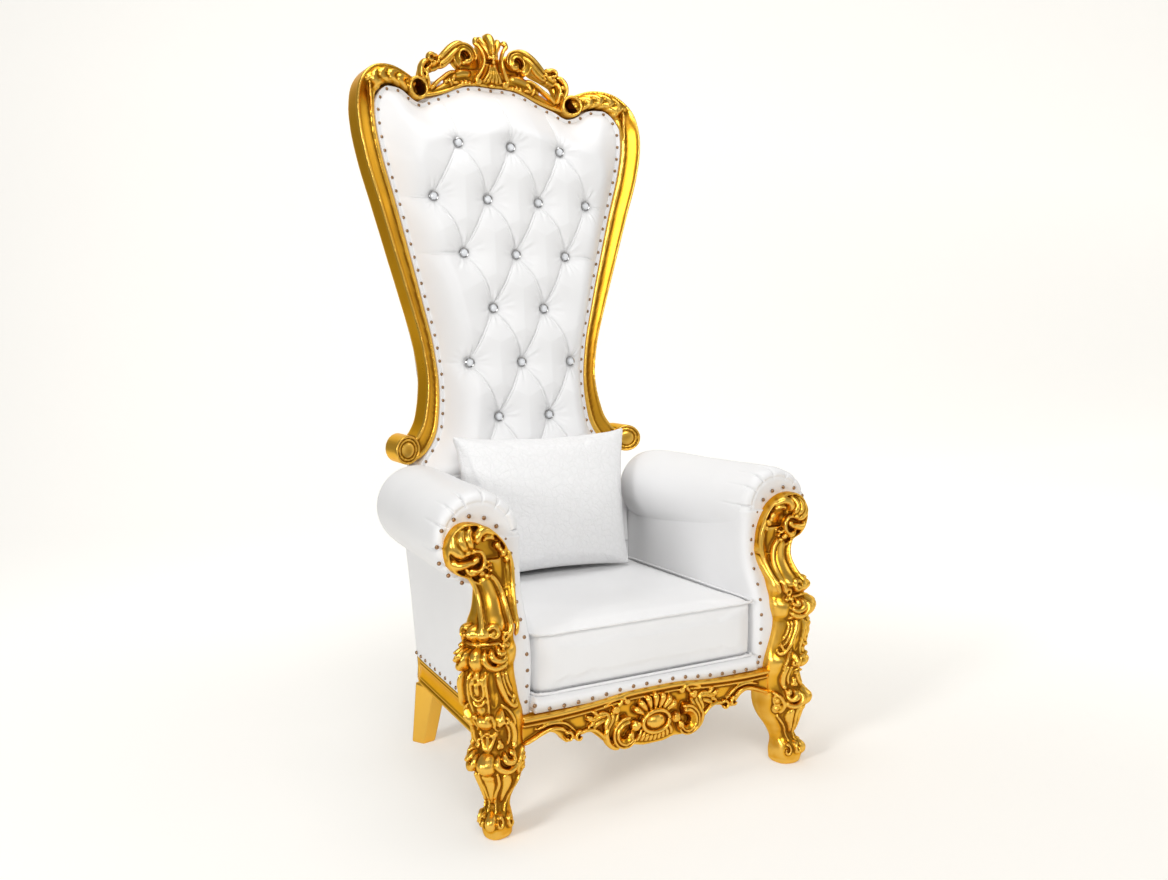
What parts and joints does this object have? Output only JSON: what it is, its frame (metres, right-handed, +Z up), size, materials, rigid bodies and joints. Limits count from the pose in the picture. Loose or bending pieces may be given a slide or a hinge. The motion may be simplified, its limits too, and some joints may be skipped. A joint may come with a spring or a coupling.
{
  "type": "throne",
  "caption": "Tall-backed throne with a carved gilded frame, pierced crest, tufted white back, rolled padded arms, box seat cushion and loose pillow.",
  "frame": {"origin": "on the floor, under the centre of the throne's outer box", "axes": "+Z up; the throne faces -Y; +X is on the right of a viewer in front"},
  "size_m": [0.963, 0.9602, 1.8268],
  "materials": {
    "gilt": "carved wood with bright satin gold paint",
    "white_leather": "white leather cloth with a fine grain and a soft sheen",
    "pillow_cloth": "matt white cloth",
    "crystal": "faceted crystal with a silvered back"
  },
  "bodies": {
    "root": {"front_post_right": "gilt", "front_post_left": "gilt", "front_apron": "gilt", "side_rail_right": "gilt", "side_rail_left": "gilt", "rear_rail": "gilt", "rear_leg_right": "gilt", "rear_leg_left": "gilt", "back_stile_right": "gilt", "back_stile_left": "gilt", "back_crest": "gilt", "back_panel": "white_leather", "back_cover": "white_leather", "arm_right": "white_leather", "arm_left": "white_leather", "seat_deck": "white_leather", "seat_cushion": "white_leather", "pillow": "pillow_cloth", "button_1_1": "crystal", "button_1_2": "crystal", "button_1_3": "crystal", "button_2_1": "crystal", "button_2_2": "crystal", "button_2_3": "crystal", "button_2_4": "crystal", "button_3_1": "crystal", "button_3_2": "crystal", "button_3_3": "crystal", "button_4_1": "crystal", "button_4_2": "crystal", "button_5_1": "crystal", "button_5_2": "crystal", "button_5_3": "crystal", "button_6_1": "crystal", "button_6_2": "crystal", "button_7_1": "crystal", "button_7_2": "crystal", "button_7_3": "crystal", "button_8_1": "crystal", "button_8_2": "crystal"}
  },
  "joints": []
}
